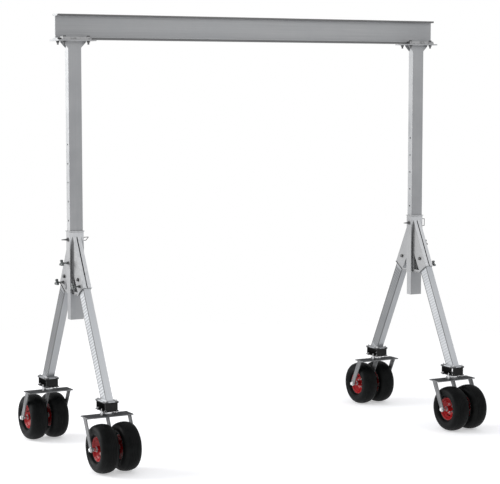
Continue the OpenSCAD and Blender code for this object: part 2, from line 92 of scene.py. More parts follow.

# %% [markdown]
# ## Node helpers
# A procedural material is a small graph. Writing each graph link by link is slow to read, so one class
# does it: it starts a material, adds a node with its inputs set or linked, and has a short name for
# each pattern that the finishes share, such as noise, rubbed edges, painted shade in corners and bumps.


# %% Node helpers
class Graph:
    """A material and short ways to add nodes to it."""

    def __init__(self, name):
        self.material = bpy.data.materials.new(name)
        self.material.use_nodes = True
        self.tree = self.material.node_tree
        self.shader = self.tree.nodes["Principled BSDF"]
        self.place = self.add("ShaderNodeTexCoord").outputs["Object"]

    def add(self, kind, inputs=None, **settings):
        """A new node. An input is given by name or number, as a value or as a socket to link from."""
        node = self.tree.nodes.new(kind)
        for key, value in settings.items():
            setattr(node, key, value)
        for key, value in (inputs or {}).items():
            if isinstance(value, bpy.types.NodeSocket):
                self.tree.links.new(value, node.inputs[key])
            else:
                node.inputs[key].default_value = value
        return node

    def stretched(self, scale):
        """Object coordinates scaled along each axis: a small number draws a pattern out along that axis."""
        return self.add("ShaderNodeMapping", {"Vector": self.place, "Scale": scale}).outputs["Vector"]

    def noise(self, where, scale, detail=3.0, rough=0.5):
        """Soft noise from 0 to 1."""
        found = self.add("ShaderNodeTexNoise",
                         {"Vector": where, "Scale": scale, "Detail": detail, "Roughness": rough})
        return found.outputs["Fac"]

    def between(self, value, low, high, to_low=0.0, to_high=1.0):
        """Maps low..high to to_low..to_high, and no further."""
        found = self.add("ShaderNodeMapRange", {
            "Value": value, "From Min": low, "From Max": high, "To Min": to_low, "To Max": to_high})
        return found.outputs["Result"]

    def math(self, operation, first, second=0.0):
        """Arithmetic on one or two values."""
        return self.add("ShaderNodeMath", {0: first, 1: second}, operation=operation).outputs[0]

    def mix(self, amount, first, second):
        """Mixes two colours."""
        found = self.add("ShaderNodeMix", {"Factor": amount, 6: first, 7: second}, data_type="RGBA")
        return found.outputs[2]

    def edges(self, width):
        """1 at sharp edges and 0 on flat faces: a rounded normal leaves the true one only near an edge."""
        soft = self.add("ShaderNodeBevel", {"Radius": width}, samples=4).outputs["Normal"]
        true = self.add("ShaderNodeNewGeometry").outputs["True Normal"]
        dot = self.add("ShaderNodeVectorMath", {0: soft, 1: true}, operation="DOT_PRODUCT").outputs["Value"]
        return self.between(dot, 0.995, 0.82), soft

    def parts_of(self, vector):
        """The X, Y and Z of a vector."""
        return self.add("ShaderNodeSeparateXYZ", {0: vector}).outputs

    def facing(self, axis):
        """How squarely a face looks along an axis: 0, 1 or 2 for X, Y or Z, with its sign."""
        return self.parts_of(self.add("ShaderNodeNewGeometry").outputs["True Normal"])[axis]

    def painted_corner_shade(self, reach):
        """Painted shade: 1 deep in a corner and 0 in the open, within a reach in metres; faces that look
        along X get less of it.
        """
        found = self.add("ShaderNodeAmbientOcclusion", {"Distance": reach}, samples=8)
        less_shade_on_x_faces = self.between(self.math("ABSOLUTE", self.facing(0)), 0.5, 0.9, 1.0, 0.2)
        return self.math("MULTIPLY", self.between(found.outputs["AO"], 0.88, 0.55), less_shade_on_x_faces)

    def bump(self, height, distance, strength=1.0, normal=None):
        """A bump normal from a height; distance is the depth in metres."""
        inputs = {"Height": height, "Distance": distance, "Strength": strength}
        if normal is not None:
            inputs["Normal"] = normal
        return self.add("ShaderNodeBump", inputs).outputs["Normal"]

    def wire(self, **sockets):
        """Links or sets the shader's own sockets. Underscores stand for spaces."""
        for key, value in sockets.items():
            socket = self.shader.inputs[key.replace("_", " ")]
            if isinstance(value, bpy.types.NodeSocket):
                self.tree.links.new(value, socket)
            else:
                socket.default_value = value
        return self.material


def grey(level, tint=0.0):
    """A grey with a slight blue tint."""
    return (level, level * (1 + tint / 2), level * (1 + tint), 1)


# %% [markdown]
# ## Extruded aluminium
# The beam, posts, sleeves and legs are extrusions. A die leaves fine lines along the whole length, so
# the noise is stretched along that axis. On top come soft cloudy patches of oxide, a few handling
# scratches and brighter rubbed edges. One function makes all of them, because only the direction of the
# lines and the tone differ.


# %% Extruded aluminium
PAINTED_SHADE_REACH = 0.11


def aluminium(name, level, lines, rough=0.40, grime_and_painted_shade=0.0, shaded_toe=0.0):
    """Extruded aluminium. lines gives the noise's scale on each axis: small along the extrusion.

    The argument after rough paints shade: faces that look along X are darkened, and corners more so. toe is
    how far out the painted shade on a flange's edge begins.
    """
    graph = Graph(name)
    along = graph.stretched(lines)
    die_lines = graph.noise(along, 1.0, 4.0, 0.65)
    clouds = graph.noise(graph.place, 2.4, 5.0, 0.6)
    scratch_field = graph.noise(graph.stretched((9, 26, 60)), 3.0, 6.0, 0.72)
    scratches = graph.between(scratch_field, 0.66, 0.70)
    edge_mask, soft_normal = graph.edges(2.0 * MM)

    tone = graph.mix(graph.between(clouds, 0.35, 0.7), grey(level * 0.90, 0.03), grey(level * 1.06, 0.01))
    tone = graph.mix(graph.between(die_lines, 0.40, 0.62, 0.0, 0.55), tone, grey(level * 0.84, 0.04))
    tone = graph.mix(graph.math("MULTIPLY", scratches, 0.35), tone, grey(min(1.0, level * 1.5)))
    tone = graph.mix(graph.math("MULTIPLY", edge_mask, 0.55), tone, grey(min(1.0, level * 1.45)))
    if grime_and_painted_shade:
        # Painted shade: faces that look along X are darkened.
        x_face_shade = graph.between(graph.math("ABSOLUTE", graph.facing(0)), 0.7, 0.95, 0.0, 0.6)
        tone = graph.mix(x_face_shade, tone, grey(level * 0.22))
        # Painted shade in corners, strongest deep inside them.
        tone = graph.mix(graph.math("MULTIPLY", graph.painted_corner_shade(PAINTED_SHADE_REACH), grime_and_painted_shade), tone, grey(0.035))
    if shaded_toe:
        # Painted shade on the outer edge of each flange.
        across = graph.math("ABSOLUTE", graph.parts_of(graph.place)[1])
        tone = graph.mix(graph.between(across, shaded_toe - 1.0 * MM, shaded_toe), tone, grey(level * 0.40))

    shine = graph.between(clouds, 0.3, 0.7, rough - 0.05, rough + 0.08)
    shine = graph.math("ADD", shine, graph.between(die_lines, 0.4, 0.65, -0.04, 0.05))
    height = graph.math("ADD", die_lines, graph.math("MULTIPLY", scratches, -0.6))
    normal = graph.bump(height, 0.12 * MM, 0.5, soft_normal)
    return graph.wire(Base_Color=tone, Metallic=0.72, Roughness=shine, Normal=normal)


LENGTHWISE_X = (1.2, 320, 320)
LENGTHWISE_Z = (320, 320, 1.2)
beam_aluminium = aluminium("beam_aluminium", 0.40, LENGTHWISE_X, shaded_toe=51.5 * MM)
post_aluminium = aluminium("post_aluminium", 0.43, LENGTHWISE_Z)
sheet_aluminium = aluminium("sheet_aluminium", 0.70, (60, 60, 22), 0.46, grime_and_painted_shade=0.95)
print("aluminium finishes: beam, post, sheet")

# %% [markdown]
# ### Leaning legs
# A leg leans, so lines along a world axis would run out of its edges. A Mapping node turns the pattern
# by the leg's lean. Along the edges of its broad sides a thin dark line of painted shade is drawn. The
# grooves between the ribs get painted shade: each rib piece carries an attribute that says how deep a
# point lies, and the finish is darker there.


# %% Leg aluminium
DEPTH = "rib_depth"
FOOT_PLATE = 8 * MM
BROAD_SIDE = (29.0 * MM, 29.8 * MM)
SHADED_EDGE = (43.0 * MM, 45.0 * MM)


def leg_lean(corner):
    """The angle of a corner's leg from upright, with its sign, from the pivot and the foot."""
    pivot = Vector(JOINTS[f"{corner}_leg_fold"]["pos_m"])
    foot_low, foot_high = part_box(f"{corner}_adapter")
    foot = Vector((pivot.x, (foot_low.y + foot_high.y) / 2, foot_high.z + FOOT_PLATE))
    return math.atan2(foot.y - pivot.y, pivot.z - foot.z), pivot, foot


def leg_aluminium(name, corner, level, groove_shade=0.0):
    """Extruded aluminium with its lines along a leaning leg; the last argument paints shade into the
    grooves between ribs.
    """
    graph = Graph(name)
    lean, pivot, _ = leg_lean(corner)
    middle_line = (-pivot.x, -pivot.y * math.cos(lean) - pivot.z * math.sin(lean), 0)
    turned = graph.add("ShaderNodeMapping", {
        "Vector": graph.place, "Rotation": (-lean, 0, 0), "Location": middle_line}).outputs["Vector"]
    along = graph.add("ShaderNodeMapping", {"Vector": turned, "Scale": (300, 300, 1.3)}).outputs["Vector"]
    die_lines = graph.noise(along, 1.0, 4.0, 0.65)
    clouds = graph.noise(graph.place, 3.0, 5.0, 0.6)
    edge_mask, soft_normal = graph.edges(2.5 * MM)
    tone = graph.mix(graph.between(clouds, 0.35, 0.7), grey(level * 0.93, 0.06), grey(level * 1.07, 0.04))
    tone = graph.mix(graph.between(die_lines, 0.40, 0.62, 0.0, 0.5), tone, grey(level * 0.82, 0.07))
    tone = graph.mix(graph.math("MULTIPLY", edge_mask, 0.6), tone, grey(level * 0.45))
    outward, across = (graph.math("ABSOLUTE", part) for part in graph.parts_of(turned)[:2])
    # Painted shade: a thin dark line along the front and back edges of the broad sides.
    edge_line_shade = graph.math("MULTIPLY", graph.between(outward, *BROAD_SIDE), graph.between(across, *SHADED_EDGE))
    tone = graph.mix(graph.math("MULTIPLY", edge_line_shade, 0.9), tone, grey(level * 0.16))
    # Painted shade in the grooves between ribs, set leg by leg.
    if groove_shade:
        depth = graph.add("ShaderNodeAttribute", attribute_name=DEPTH).outputs["Fac"]
        tone = graph.mix(graph.between(depth, 0.2, 0.8, 0.0, groove_shade), tone, grey(level * 0.12))
    shine = graph.between(clouds, 0.3, 0.7, 0.36, 0.48)
    normal = graph.bump(die_lines, 0.12 * MM, 0.5, soft_normal)
    return graph.wire(Base_Color=tone, Metallic=0.65, Roughness=shine, Normal=normal)


# Painted shade: the back legs get darker levels than the front ones, as lit and shaded copies of one
# finish.
LEG_LEVEL_BY_LIGHT = {"left_front": 0.56, "left_back": 0.38, "right_front": 0.54, "right_back": 0.40}
RIB_LEVEL_BY_LIGHT = {"left_front": 0.66, "left_back": 0.36, "right_front": 0.56, "right_back": 0.27}
GROOVE_SHADE = {"left_front": 0.40, "left_back": 1.0, "right_front": 0.22, "right_back": 0.35}
leg_finish = {
    corner: leg_aluminium(f"{corner}_leg_aluminium", corner, LEG_LEVEL_BY_LIGHT[corner]) for corner in CORNERS}
rib_finish = {
    corner: leg_aluminium(f"{corner}_rib_aluminium", corner, RIB_LEVEL_BY_LIGHT[corner], GROOVE_SHADE[corner])
    for corner in CORNERS}
print("lean of each leg:", {c: round(math.degrees(leg_lean(c)[0]), 1) for c in CORNERS})

# %% [markdown]
# ## Steel
# The forks are galvanised: zinc crystals make flat patches of slightly different grey, which a Voronoi
# texture gives; their upward faces are darkened as painted shade. Bolts, axles and pins are zinc plated,
# smoother and brighter, with darker dirt in the blotches and edges lightened by wear and by a painted
# highlight.


# %% Steel
def galvanised(name, level):
    """Dull zinc with crystal patches, run marks and rubbed edges."""
    graph = Graph(name)
    crystals = graph.add("ShaderNodeTexVoronoi", {"Vector": graph.place, "Scale": 70.0})
    patch = graph.add("ShaderNodeSeparateColor", {0: crystals.outputs["Color"]}).outputs[0]
    stains = graph.noise(graph.stretched((14, 14, 5)), 1.0, 6.0, 0.62)
    edge_mask, soft_normal = graph.edges(2.0 * MM)
    tone = graph.mix(graph.between(patch, 0.0, 1.0), grey(level * 0.84, 0.05), grey(level * 1.12, 0.03))
    tone = graph.mix(graph.between(stains, 0.45, 0.72), tone, grey(level * 0.55, 0.02))
    # Painted shade: faces that look up are darkened, and there the zinc loses its metallic shine.
    shaded_top = graph.between(graph.facing(2), 0.6, 0.9)
    tone = graph.mix(graph.math("MULTIPLY", shaded_top, 0.9), tone, grey(level * 0.22, 0.08))
    tone = graph.mix(graph.math("MULTIPLY", edge_mask, 0.75), tone, grey(min(1.0, level * 2.1)))
    shine = graph.between(stains, 0.35, 0.7, 0.42, 0.60)
    normal = graph.bump(graph.noise(graph.place, 260.0, 3.0), 0.10 * MM, 0.5, soft_normal)
    return graph.wire(
        Base_Color=tone, Metallic=graph.between(shaded_top, 0.0, 1.0, 0.45, 0.0), Roughness=shine,
        Normal=normal, Specular_IOR_Level=graph.between(shaded_top, 0.0, 1.0, 0.25, 0.02))


def plated(name, level, rough, tint=(1, 1, 1), lacquer=0.0):
    """Zinc-plated steel of a tone, with dirt in soft blotches, edges lightened by wear and by a painted
    highlight, and perhaps a clear lacquer.
    """
    graph = Graph(name)
    grime_and_painted_shade = graph.noise(graph.place, 38.0, 5.0, 0.6)
    edge_mask, soft_normal = graph.edges(1.0 * MM)
    clean = tuple(level * part for part in tint) + (1,)
    dirty = tuple(level * part * 0.55 for part in tint) + (1,)
    tone = graph.mix(graph.between(grime_and_painted_shade, 0.48, 0.70), clean, dirty)
    # Edges lightened: rubbed wear, and a painted highlight standing in for glints.
    tone = graph.mix(graph.math("MULTIPLY", edge_mask, 0.5), tone, grey(min(1.0, level * 1.5 + 0.1)))
    shine = graph.between(grime_and_painted_shade, 0.4, 0.7, rough, rough + 0.2)
    normal = graph.bump(graph.noise(graph.place, 420.0, 2.0), 0.05 * MM, 0.4, soft_normal)
    return graph.wire(Base_Color=tone, Metallic=0.9, Roughness=shine, Normal=normal, Coat_Weight=lacquer,
                      Coat_Roughness=0.08)


fork_zinc = galvanised("fork_zinc", 0.19)
bright_zinc = plated("bright_zinc", 0.78, 0.24)
dark_zinc = plated("dark_zinc", 0.16, 0.40)
knob_casting = plated("knob_casting", 0.13, 0.25, (0.92, 1.0, 0.98), lacquer=0.9)
pin_zinc = plated("pin_zinc", 0.17, 0.40)
plain_zinc = plated("plain_zinc", 0.42, 0.42)
weld_metal = plated("weld_metal", 0.50, 0.36)
print("steel finishes: fork, bright, dark, knob, pin, plain, weld")

# %% [markdown]
# ## Paint and rubber
# The adapter boxes are powder coated: a slight orange-peel surface, chipped to grey at the corners. The
# rims are glossy red with a clear coat and road dust where a hand can't reach. Rubber is nearly black,
# never fully: dust lifts it on the tread and on the sidewall it has a waxy bloom.


# %% Paint and rubber
def powder_coat(name):
    """Black powder coat with orange peel, dust and chipped edges."""
    graph = Graph(name)
    peel = graph.noise(graph.place, 520.0, 2.0)
    dust = graph.noise(graph.place, 16.0, 6.0, 0.65)
    edge_mask, soft_normal = graph.edges(1.5 * MM)
    chips = graph.math("MULTIPLY", edge_mask, graph.between(graph.noise(graph.place, 90.0, 4.0), 0.5, 0.6))
    tone = graph.mix(graph.between(dust, 0.5, 0.8), (0.006, 0.006, 0.006, 1), (0.024, 0.023, 0.022, 1))
    tone = graph.mix(graph.math("MULTIPLY", chips, 0.8), tone, grey(0.30))
    shine = graph.between(dust, 0.4, 0.75, 0.34, 0.55)
    normal = graph.bump(peel, 0.20 * MM, 0.5, soft_normal)
    return graph.wire(Base_Color=tone, Roughness=shine, Normal=normal, Specular_IOR_Level=0.20)


def rim_enamel(name):
    """Glossy red enamel on pressed steel, with dust and small chips."""
    graph = Graph(name)
    dust = graph.noise(graph.place, 22.0, 6.0, 0.68)
    flow = graph.noise(graph.place, 7.0, 3.0)
    edge_mask, soft_normal = graph.edges(1.5 * MM)
    chips = graph.math("MULTIPLY", edge_mask, graph.between(graph.noise(graph.place, 120.0, 4.0), 0.56, 0.62))
    tone = graph.mix(graph.between(flow, 0.3, 0.7), (0.25, 0.005, 0.007, 1), (0.34, 0.008, 0.010, 1))
    tone = graph.mix(graph.between(dust, 0.56, 0.84, 0.0, 0.35), tone, (0.16, 0.030, 0.026, 1))
    tone = graph.mix(graph.math("MULTIPLY", chips, 0.7), tone, grey(0.34))
    shine = graph.between(dust, 0.4, 0.8, 0.20, 0.48)
    normal = graph.bump(graph.noise(graph.place, 300.0, 2.0), 0.06 * MM, 0.4, soft_normal)
    return graph.wire(Base_Color=tone, Roughness=shine, Normal=normal, Coat_Weight=0.12,
                      Coat_Roughness=0.15, Specular_IOR_Level=0.2)


def rubber(name):
    """Tyre rubber: black, with dust in patches, scuffs and a fine grain."""
    graph = Graph(name)
    grain = graph.noise(graph.place, 900.0, 2.0)
    dust = graph.noise(graph.place, 11.0, 6.0, 0.66)
    scuffs = graph.between(graph.noise(graph.place, 46.0, 5.0, 0.7), 0.58, 0.70)
    tone = graph.mix(graph.between(dust, 0.45, 0.8), (0.0020, 0.0024, 0.0024, 1), (0.007, 0.008, 0.008, 1))
    tone = graph.mix(graph.math("MULTIPLY", scuffs, 0.35), tone, (0.015, 0.015, 0.014, 1))
    shine = graph.between(dust, 0.35, 0.75, 0.42, 0.62)
    shine = graph.math("ADD", shine, graph.math("MULTIPLY", scuffs, 0.10))
    normal = graph.bump(graph.math("ADD", grain, graph.math("MULTIPLY", scuffs, 0.6)), 0.15 * MM, 0.45)
    return graph.wire(Base_Color=tone, Roughness=shine, Normal=normal, Specular_IOR_Level=0.10)


adapter_black = powder_coat("adapter_black")
rim_red = rim_enamel("rim_red")
tyre_rubber = rubber("tyre_rubber")
print("paint and rubber finishes: black, red, rubber")

# %% [markdown]
# ## Finishes on the ready-made nodes
# A node whose shape is right stays as it is and only gets its finish. The last word of a node's name
# says what it is, so a small table of endings is enough.

# %% Dress the nodes
NODE_FINISH = {
    "beam": beam_aluminium, "post": post_aluminium, "bracket": sheet_aluminium, "jaws": plain_zinc,
    "bolts": dark_zinc, "pin": pin_zinc, "knob": knob_casting, "adapter": adapter_black,
    "head": bright_zinc, "fork": fork_zinc, "axle": bright_zinc, "lock": bright_zinc,
    "tyre": tyre_rubber, "rim": rim_red,
}


def dress(thing, material):
    """Gives an object one material."""
    thing.data.materials.clear()
    thing.data.materials.append(material)


for node_name, thing in frame["nodes"].items():
    ending = node_name.split("_")[-1]
    dress(thing, leg_finish[node_name[:-4]] if ending == "leg" else NODE_FINISH[ending])
print("nodes dressed:", len(frame["nodes"]))

# %% [markdown]
# ## Making a piece
# Every new piece is drawn in a bmesh, already in its place. Then its doubles are merged, its normals
# face out, and it becomes an object at the origin that rides on the body it belongs to.


# %% Piece helpers
def make_piece(bm, name, body, material, replaces=(), sharp=32):
    """Turns a bmesh into a named piece on a body."""
    bmesh.ops.remove_doubles(bm, verts=bm.verts, dist=0.01 * MM)
    bmesh.ops.recalc_face_normals(bm, faces=bm.faces)
    mesh = bpy.data.meshes.new(name)
    bm.to_mesh(mesh)
    bm.free()
    mesh.shade_smooth()
    mesh.set_sharp_from_angle(angle=math.radians(sharp))
    piece = bpy.data.objects.new(name, mesh)
    bpy.context.scene.collection.objects.link(piece)
    dress(piece, material)
    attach(piece, body)
    if replaces:
        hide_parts(*replaces)
    return piece


def toward(direction):
    """The turn that takes +Z to a direction."""
    return Vector(direction).to_track_quat("Z", "Y").to_matrix().to_4x4()


def drum(bm, at, direction, radius, length, segments=32, top_radius=None, bevel=0.0):
    """A closed cylinder or cone from a point along a direction, with its end edges bevelled."""
    top_radius = radius if top_radius is None else top_radius
    place = Matrix.Translation(Vector(at)) @ toward(direction) @ Matrix.Translation((0, 0, length / 2))
    made = bmesh.ops.create_cone(bm, cap_ends=True, segments=segments, radius1=radius, radius2=top_radius,
                                 depth=length, matrix=place)
    if bevel:
        rims = {edge for vert in made["verts"] for edge in vert.link_edges
                if any(len(face.verts) == segments for face in edge.link_faces)}
        bmesh.ops.bevel(bm, geom=list(rims), offset=bevel, segments=2, profile=0.5, affect="EDGES",
                        material=-1)
    return made["verts"]


def hexagon(bm, at, direction, thread, height, washer=0.0):
    """A chamfered bolt head or nut on an optional washer, sized from its thread."""
    direction = Vector(direction)
    if washer:
        drum(bm, at, direction, thread * 1.0, washer, 32, bevel=0.3 * MM)
    base = Vector(at) + direction * washer
    drum(bm, base, direction, thread * 0.866, height, 6, bevel=0.09 * thread)


def spun(bm, outline, centre, steps=96):
    """Spins an outline of (x, radius) points right round the X axis through a centre."""
    verts = [bm.verts.new(Vector(centre) + Vector((x, 0, r))) for x, r in outline]
    edges = [bm.edges.new(pair) for pair in zip(verts, verts[1:] + verts[:1])]
    bmesh.ops.spin(bm, geom=verts + edges, cent=centre, axis=(1, 0, 0), angle=math.tau, steps=steps,
                   use_merge=True)


def arc(x, r, radius, start, end, count):
    """Points of an arc about (x, r), from one angle to another in degrees; 0 points along +X."""
    angles = [math.radians(start + (end - start) * i / count) for i in range(count + 1)]
    return [(x + radius * math.cos(a), r + radius * math.sin(a)) for a in angles]


# %% [markdown]
# ## Tyres
# A cart tyre is a fat ring: a crowned tread, round shoulders and a sidewall that tucks in to the rim.
# It is drawn as one outline of arcs and spun once round the axle. The tread's grooves and the two rings
# on the sidewall are part of the outline, so they are real shape and catch the light from any side.

# %% Tyre outline
SHOULDER = 45 * MM
CROWN = 150 * MM
GROOVES = [x * MM for x in (-36, -22, -7.5, 7.5, 22, 36)]
GROOVE_HALF = 1.7 * MM
GROOVE_DEPTH = 2.6 * MM
BUMPER = 1.3 * MM
WALL = 10 * MM


def tread_radius(x, radius):
    """The crowned tread: an arc that is highest in the middle."""
    return radius - CROWN + math.sqrt(CROWN ** 2 - x ** 2)


def tyre_outline(half, radius, rim_radius):
    """The closed section of a tyre: over the tread, down both sidewalls and back along the inside."""
    shoulder_x = half - SHOULDER
    shoulder_r = radius - CROWN + math.sqrt((CROWN - SHOULDER) ** 2 - shoulder_x ** 2)
    tread = []
    for x in GROOVES:
        for step, deep in ((-1, 0), (-0.6, 1), (0.6, 1), (1, 0)):
            at = x + step * GROOVE_HALF
            tread.append((at, tread_radius(at, radius) - deep * GROOVE_DEPTH))
    meets = math.degrees(math.asin(shoulder_x / (CROWN - SHOULDER)))
    wall_x, wall_r = half - 42 * MM, 42 * MM
    side = arc(shoulder_x, shoulder_r, SHOULDER, 90 - meets, 2, 10)
    side += arc(wall_x, shoulder_r, wall_r, -4, -9, 2)
    side += arc(wall_x, shoulder_r, wall_r + BUMPER, -11, -15, 2)
    side += arc(wall_x, shoulder_r, wall_r, -17, -47, 5)
    side += arc(wall_x, shoulder_r, wall_r + BUMPER, -49, -54, 2)
    side += arc(wall_x, shoulder_r, wall_r, -56, -76, 3)
    side += [(wall_x + 6 * MM, rim_radius - 6 * MM)]
    inside = [(wall_x - 4 * MM, rim_radius - 6 * MM), (half - WALL - 20 * MM, rim_radius + 18 * MM),
              (half - WALL - 4 * MM, shoulder_r), (shoulder_x + 12 * MM, radius - 2.2 * WALL),
              (0, radius - 1.4 * WALL)]
    mirrored_side = [(-x, r) for x, r in reversed(side)]
    mirrored_inside = [(-x, r) for x, r in reversed(inside[:-1])]
    return mirrored_side + tread + side + inside + mirrored_inside


# %% [markdown]
# ### Spinning the tyres
# Each tyre takes its width and radius from its own node, so it fits whatever the frame says. A tyre on
# a body that rolls has to look the same at every turn, so the steps are many and even.

# %% Tyres
WHEEL_STEPS = 112
for wheel in WHEELS:
    low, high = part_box(f"{wheel}_tyre")
    rim_low, rim_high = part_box(f"{wheel}_rim")
    outline = tyre_outline((high.x - low.x) / 2, (high.z - low.z) / 2, (rim_high.z - rim_low.z) / 2)
    bm = bmesh.new()
    spun(bm, outline, (low + high) / 2, WHEEL_STEPS)
    make_piece(bm, f"{wheel}_grooved_tyre", f"{wheel}_wheel", tyre_rubber,
               [f"{wheel}_tyre"], sharp=28)
print("tyres made:", len(WHEELS), "with", len(outline), "points in the outline")

# %% [markdown]
# ## Rims
# The rim is two pressed dishes, back to back and bolted together round the hub. Each dish is flat near
# the hub, opens out in a cone and ends in a rolled edge that holds the tyre. One spun outline gives
# both dishes. The bearings, the ring of bolts and the rubber valve are pieces of their own, as on the
# real wheel.

# %% Rims
RIM_HALF = 48 * MM
ROLL = 4.2 * MM
DISH_FACE = ((4, 24), (4, 50), (5, 54), (8, 59), (13, 64), (22, 72), (27, 77), (31, 82), (36, 86),
             (40, 87.5))
DISH_BACK = ((38, 91.5), (32, 90), (27.5, 86), (23, 80.5), (9, 68), (3.5, 62.5), (0, 61))


def rim_outline(half, radius):
    """The closed section of a two-dish rim."""
    face = [(x * MM, r * MM) for x, r in DISH_FACE]
    back = [(x * MM, r * MM) for x, r in DISH_BACK]
    right = face + arc(half - ROLL, radius - ROLL, ROLL, -75, 140, 8) + back
    return right + [(-x, r) for x, r in reversed(right[:-1])]


def hub_outline(half):
    """A turned hub with a shoulder against the dishes and a chamfer at each end."""
    right = [(6 * MM, 27 * MM), (9 * MM, 26 * MM), (12 * MM, 24 * MM), (half - 9 * MM, 24 * MM),
             (half - 5.5 * MM, 22.5 * MM), (half - 5.5 * MM, 11 * MM)]
    return [(-x, r) for x, r in reversed(right)] + right


def bearing_outline(start, end):
    """A ball bearing's closed face: outer ring, sunk shield and inner ring."""
    step = (end - start) * 0.35
    return [(start, 10.3 * MM), (end, 10.3 * MM), (end, 13.5 * MM), (end - step, 14.2 * MM),
            (end - step, 18.3 * MM), (end, 19 * MM), (end, 21 * MM), (start, 22 * MM)]


for wheel in WHEELS:
    low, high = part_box(f"{wheel}_rim")
    centre = (low + high) / 2
    half_hub = (high.x - low.x) / 2
    bm = bmesh.new()
    spun(bm, rim_outline(RIM_HALF, (high.z - low.z) / 2), centre, WHEEL_STEPS)
    spun(bm, hub_outline(half_hub), centre, WHEEL_STEPS // 2)
    make_piece(bm, f"{wheel}_pressed_rim", f"{wheel}_wheel", rim_red, [f"{wheel}_rim"],
               sharp=30)
print("rims made:", len(WHEELS))

# %% [markdown]
# ### Bearings, rim bolts and valves
# Small parts show the turn of a wheel. The bolts are placed round a circle by angle, and every wheel
# starts at another angle, because wheels never stop alike. The valve leans out of the dish so that a
# pump can reach it.

# %% Bearings, rim bolts and valves
BOLT_COUNT = 5
BOLT_CIRCLE = 38 * MM
VALVE_CIRCLE = 66 * MM
VALVE_TURN = 77
for number, wheel in enumerate(WHEELS):
    low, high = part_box(f"{wheel}_rim")
    centre = (low + high) / 2
    half_hub = (high.x - low.x) / 2
    away = 1 if wheel.startswith("right") == wheel.endswith("outer") else -1
    bm = bmesh.new()
    for side in (1, -1):
        ring = [(side * x, r) for x, r in bearing_outline(half_hub - 6 * MM, half_hub)]
        spun(bm, ring, centre, 48)
    for i in range(BOLT_COUNT):
        angle = math.tau * i / BOLT_COUNT + number
        spot = centre + BOLT_CIRCLE * Vector((0, math.cos(angle), math.sin(angle)))
        for side in (1, -1):
            face = Vector((side, 0, 0))
            hexagon(bm, spot + face * 4 * MM, face, 9 * MM, 6.5 * MM, 1.6 * MM)
            drum(bm, spot + face * 10 * MM, face, 4 * MM, (5 + 2 * side * away) * MM, 16, bevel=0.8 * MM)
    make_piece(bm, f"{wheel}_rim_bolts", f"{wheel}_wheel", plain_zinc)

    angle = math.radians(250 + VALVE_TURN * number)
    spoke = Vector((0, math.cos(angle), math.sin(angle)))
    root = centre + spoke * VALVE_CIRCLE + Vector((away * 12 * MM, 0, 0))
    lean_out = (Vector((away, 0, 0)) - spoke * 0.45).normalized()
    bm = bmesh.new()
    drum(bm, root, lean_out, 6.5 * MM, 6 * MM, 24, 5 * MM, 1 * MM)
    drum(bm, root, lean_out, 4 * MM, 24 * MM, 24, 3.4 * MM, 0.6 * MM)
    drum(bm, root + lean_out * 20 * MM, lean_out, 4.2 * MM, 12 * MM, 16, bevel=1.2 * MM)
    make_piece(bm, f"{wheel}_valve", f"{wheel}_wheel", tyre_rubber)
print("rim bolts:", BOLT_COUNT, "on each side of every wheel, and one valve each")

# %% [markdown]
# ## Bolts, nuts and knobs
# A plain hexagonal prism looks like a toy: a real nut has its corners turned off, and sits on a washer.
# One function draws every nut and bolt head, and the big ones take the place of the plain ones.


# %% Foot bolts
def corner_points(low, high, inset):
    """The four corners of a box's top view, moved in by an inset."""
    return [(x, y) for x in (low.x + inset, high.x - inset) for y in (low.y + inset, high.y - inset)]


for corner in CORNERS:
    low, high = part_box(f"{corner}_adapter")
    bm = bmesh.new()
    for x, y in corner_points(low, high, 15 * MM):
        hexagon(bm, (x, y, high.z + FOOT_PLATE), (0, 0, 1), 10 * MM, 6.5 * MM, 2 * MM)
        drum(bm, (x, y, high.z + FOOT_PLATE + 8 * MM), (0, 0, 1), 5 * MM, 5 * MM, 20, bevel=0.8 * MM)
        hexagon(bm, (x, y, low.z), (0, 0, -1), 10 * MM, 7 * MM, 2 * MM)
        hexagon(bm, (x, y, low.z + 7 * MM), (0, 0, 1), 10 * MM, 8 * MM, 2 * MM)
    make_piece(bm, f"{corner}_foot_bolts", f"{corner}_leg", bright_zinc)
print("foot bolts: 4 above and 4 below at each corner")

# %% [markdown]
# ### Axles
# One long bolt carries both wheels of a caster. Spacer tubes keep the wheels away from the fork's arms,
# and a nut on a washer closes each end. Each spacer is given by where it starts from the middle, and
# its length.

# %% Axles
AXLE_THREAD = 20 * MM
AXLE_NUT = 13 * MM
AXLE_WASHER = 3 * MM
SPACERS = ((5, 37), (154, 36.5))
SPACER_RADIUS = 17 * MM
for corner in CORNERS:
    low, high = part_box(f"{corner}_axle")
    centre = (low + high) / 2
    reach = (high.x - low.x) / 2
    inner = reach - AXLE_NUT - AXLE_WASHER
    bm = bmesh.new()
    drum(bm, (centre.x - reach, centre.y, centre.z), (1, 0, 0), AXLE_THREAD / 2, 2 * reach, 40,
         bevel=1.5 * MM)
    for out in (1, -1):
        seat = centre + Vector((out * inner, 0, 0))
        hexagon(bm, seat, (out, 0, 0), AXLE_THREAD, AXLE_NUT - 1.5 * MM, AXLE_WASHER)
    for start, length in SPACERS:
        for out in (1, -1):
            spacer_end = centre + Vector((out * start * MM, 0, 0))
            drum(bm, spacer_end, (out, 0, 0), SPACER_RADIUS, length * MM, 40, bevel=0.8 * MM)
    make_piece(bm, f"{corner}_axle_bolt", f"{corner}_fork", bright_zinc, [f"{corner}_axle"])
print("axles made:", len(CORNERS))

# %% [markdown]
# ### Pivot bolts and clamp bolts
# The legs hang on long bolts through the cheeks, with a nut outside at each end. Four more bolts pull
# the jaws against each head plate. Both sets take their reach from their own node.

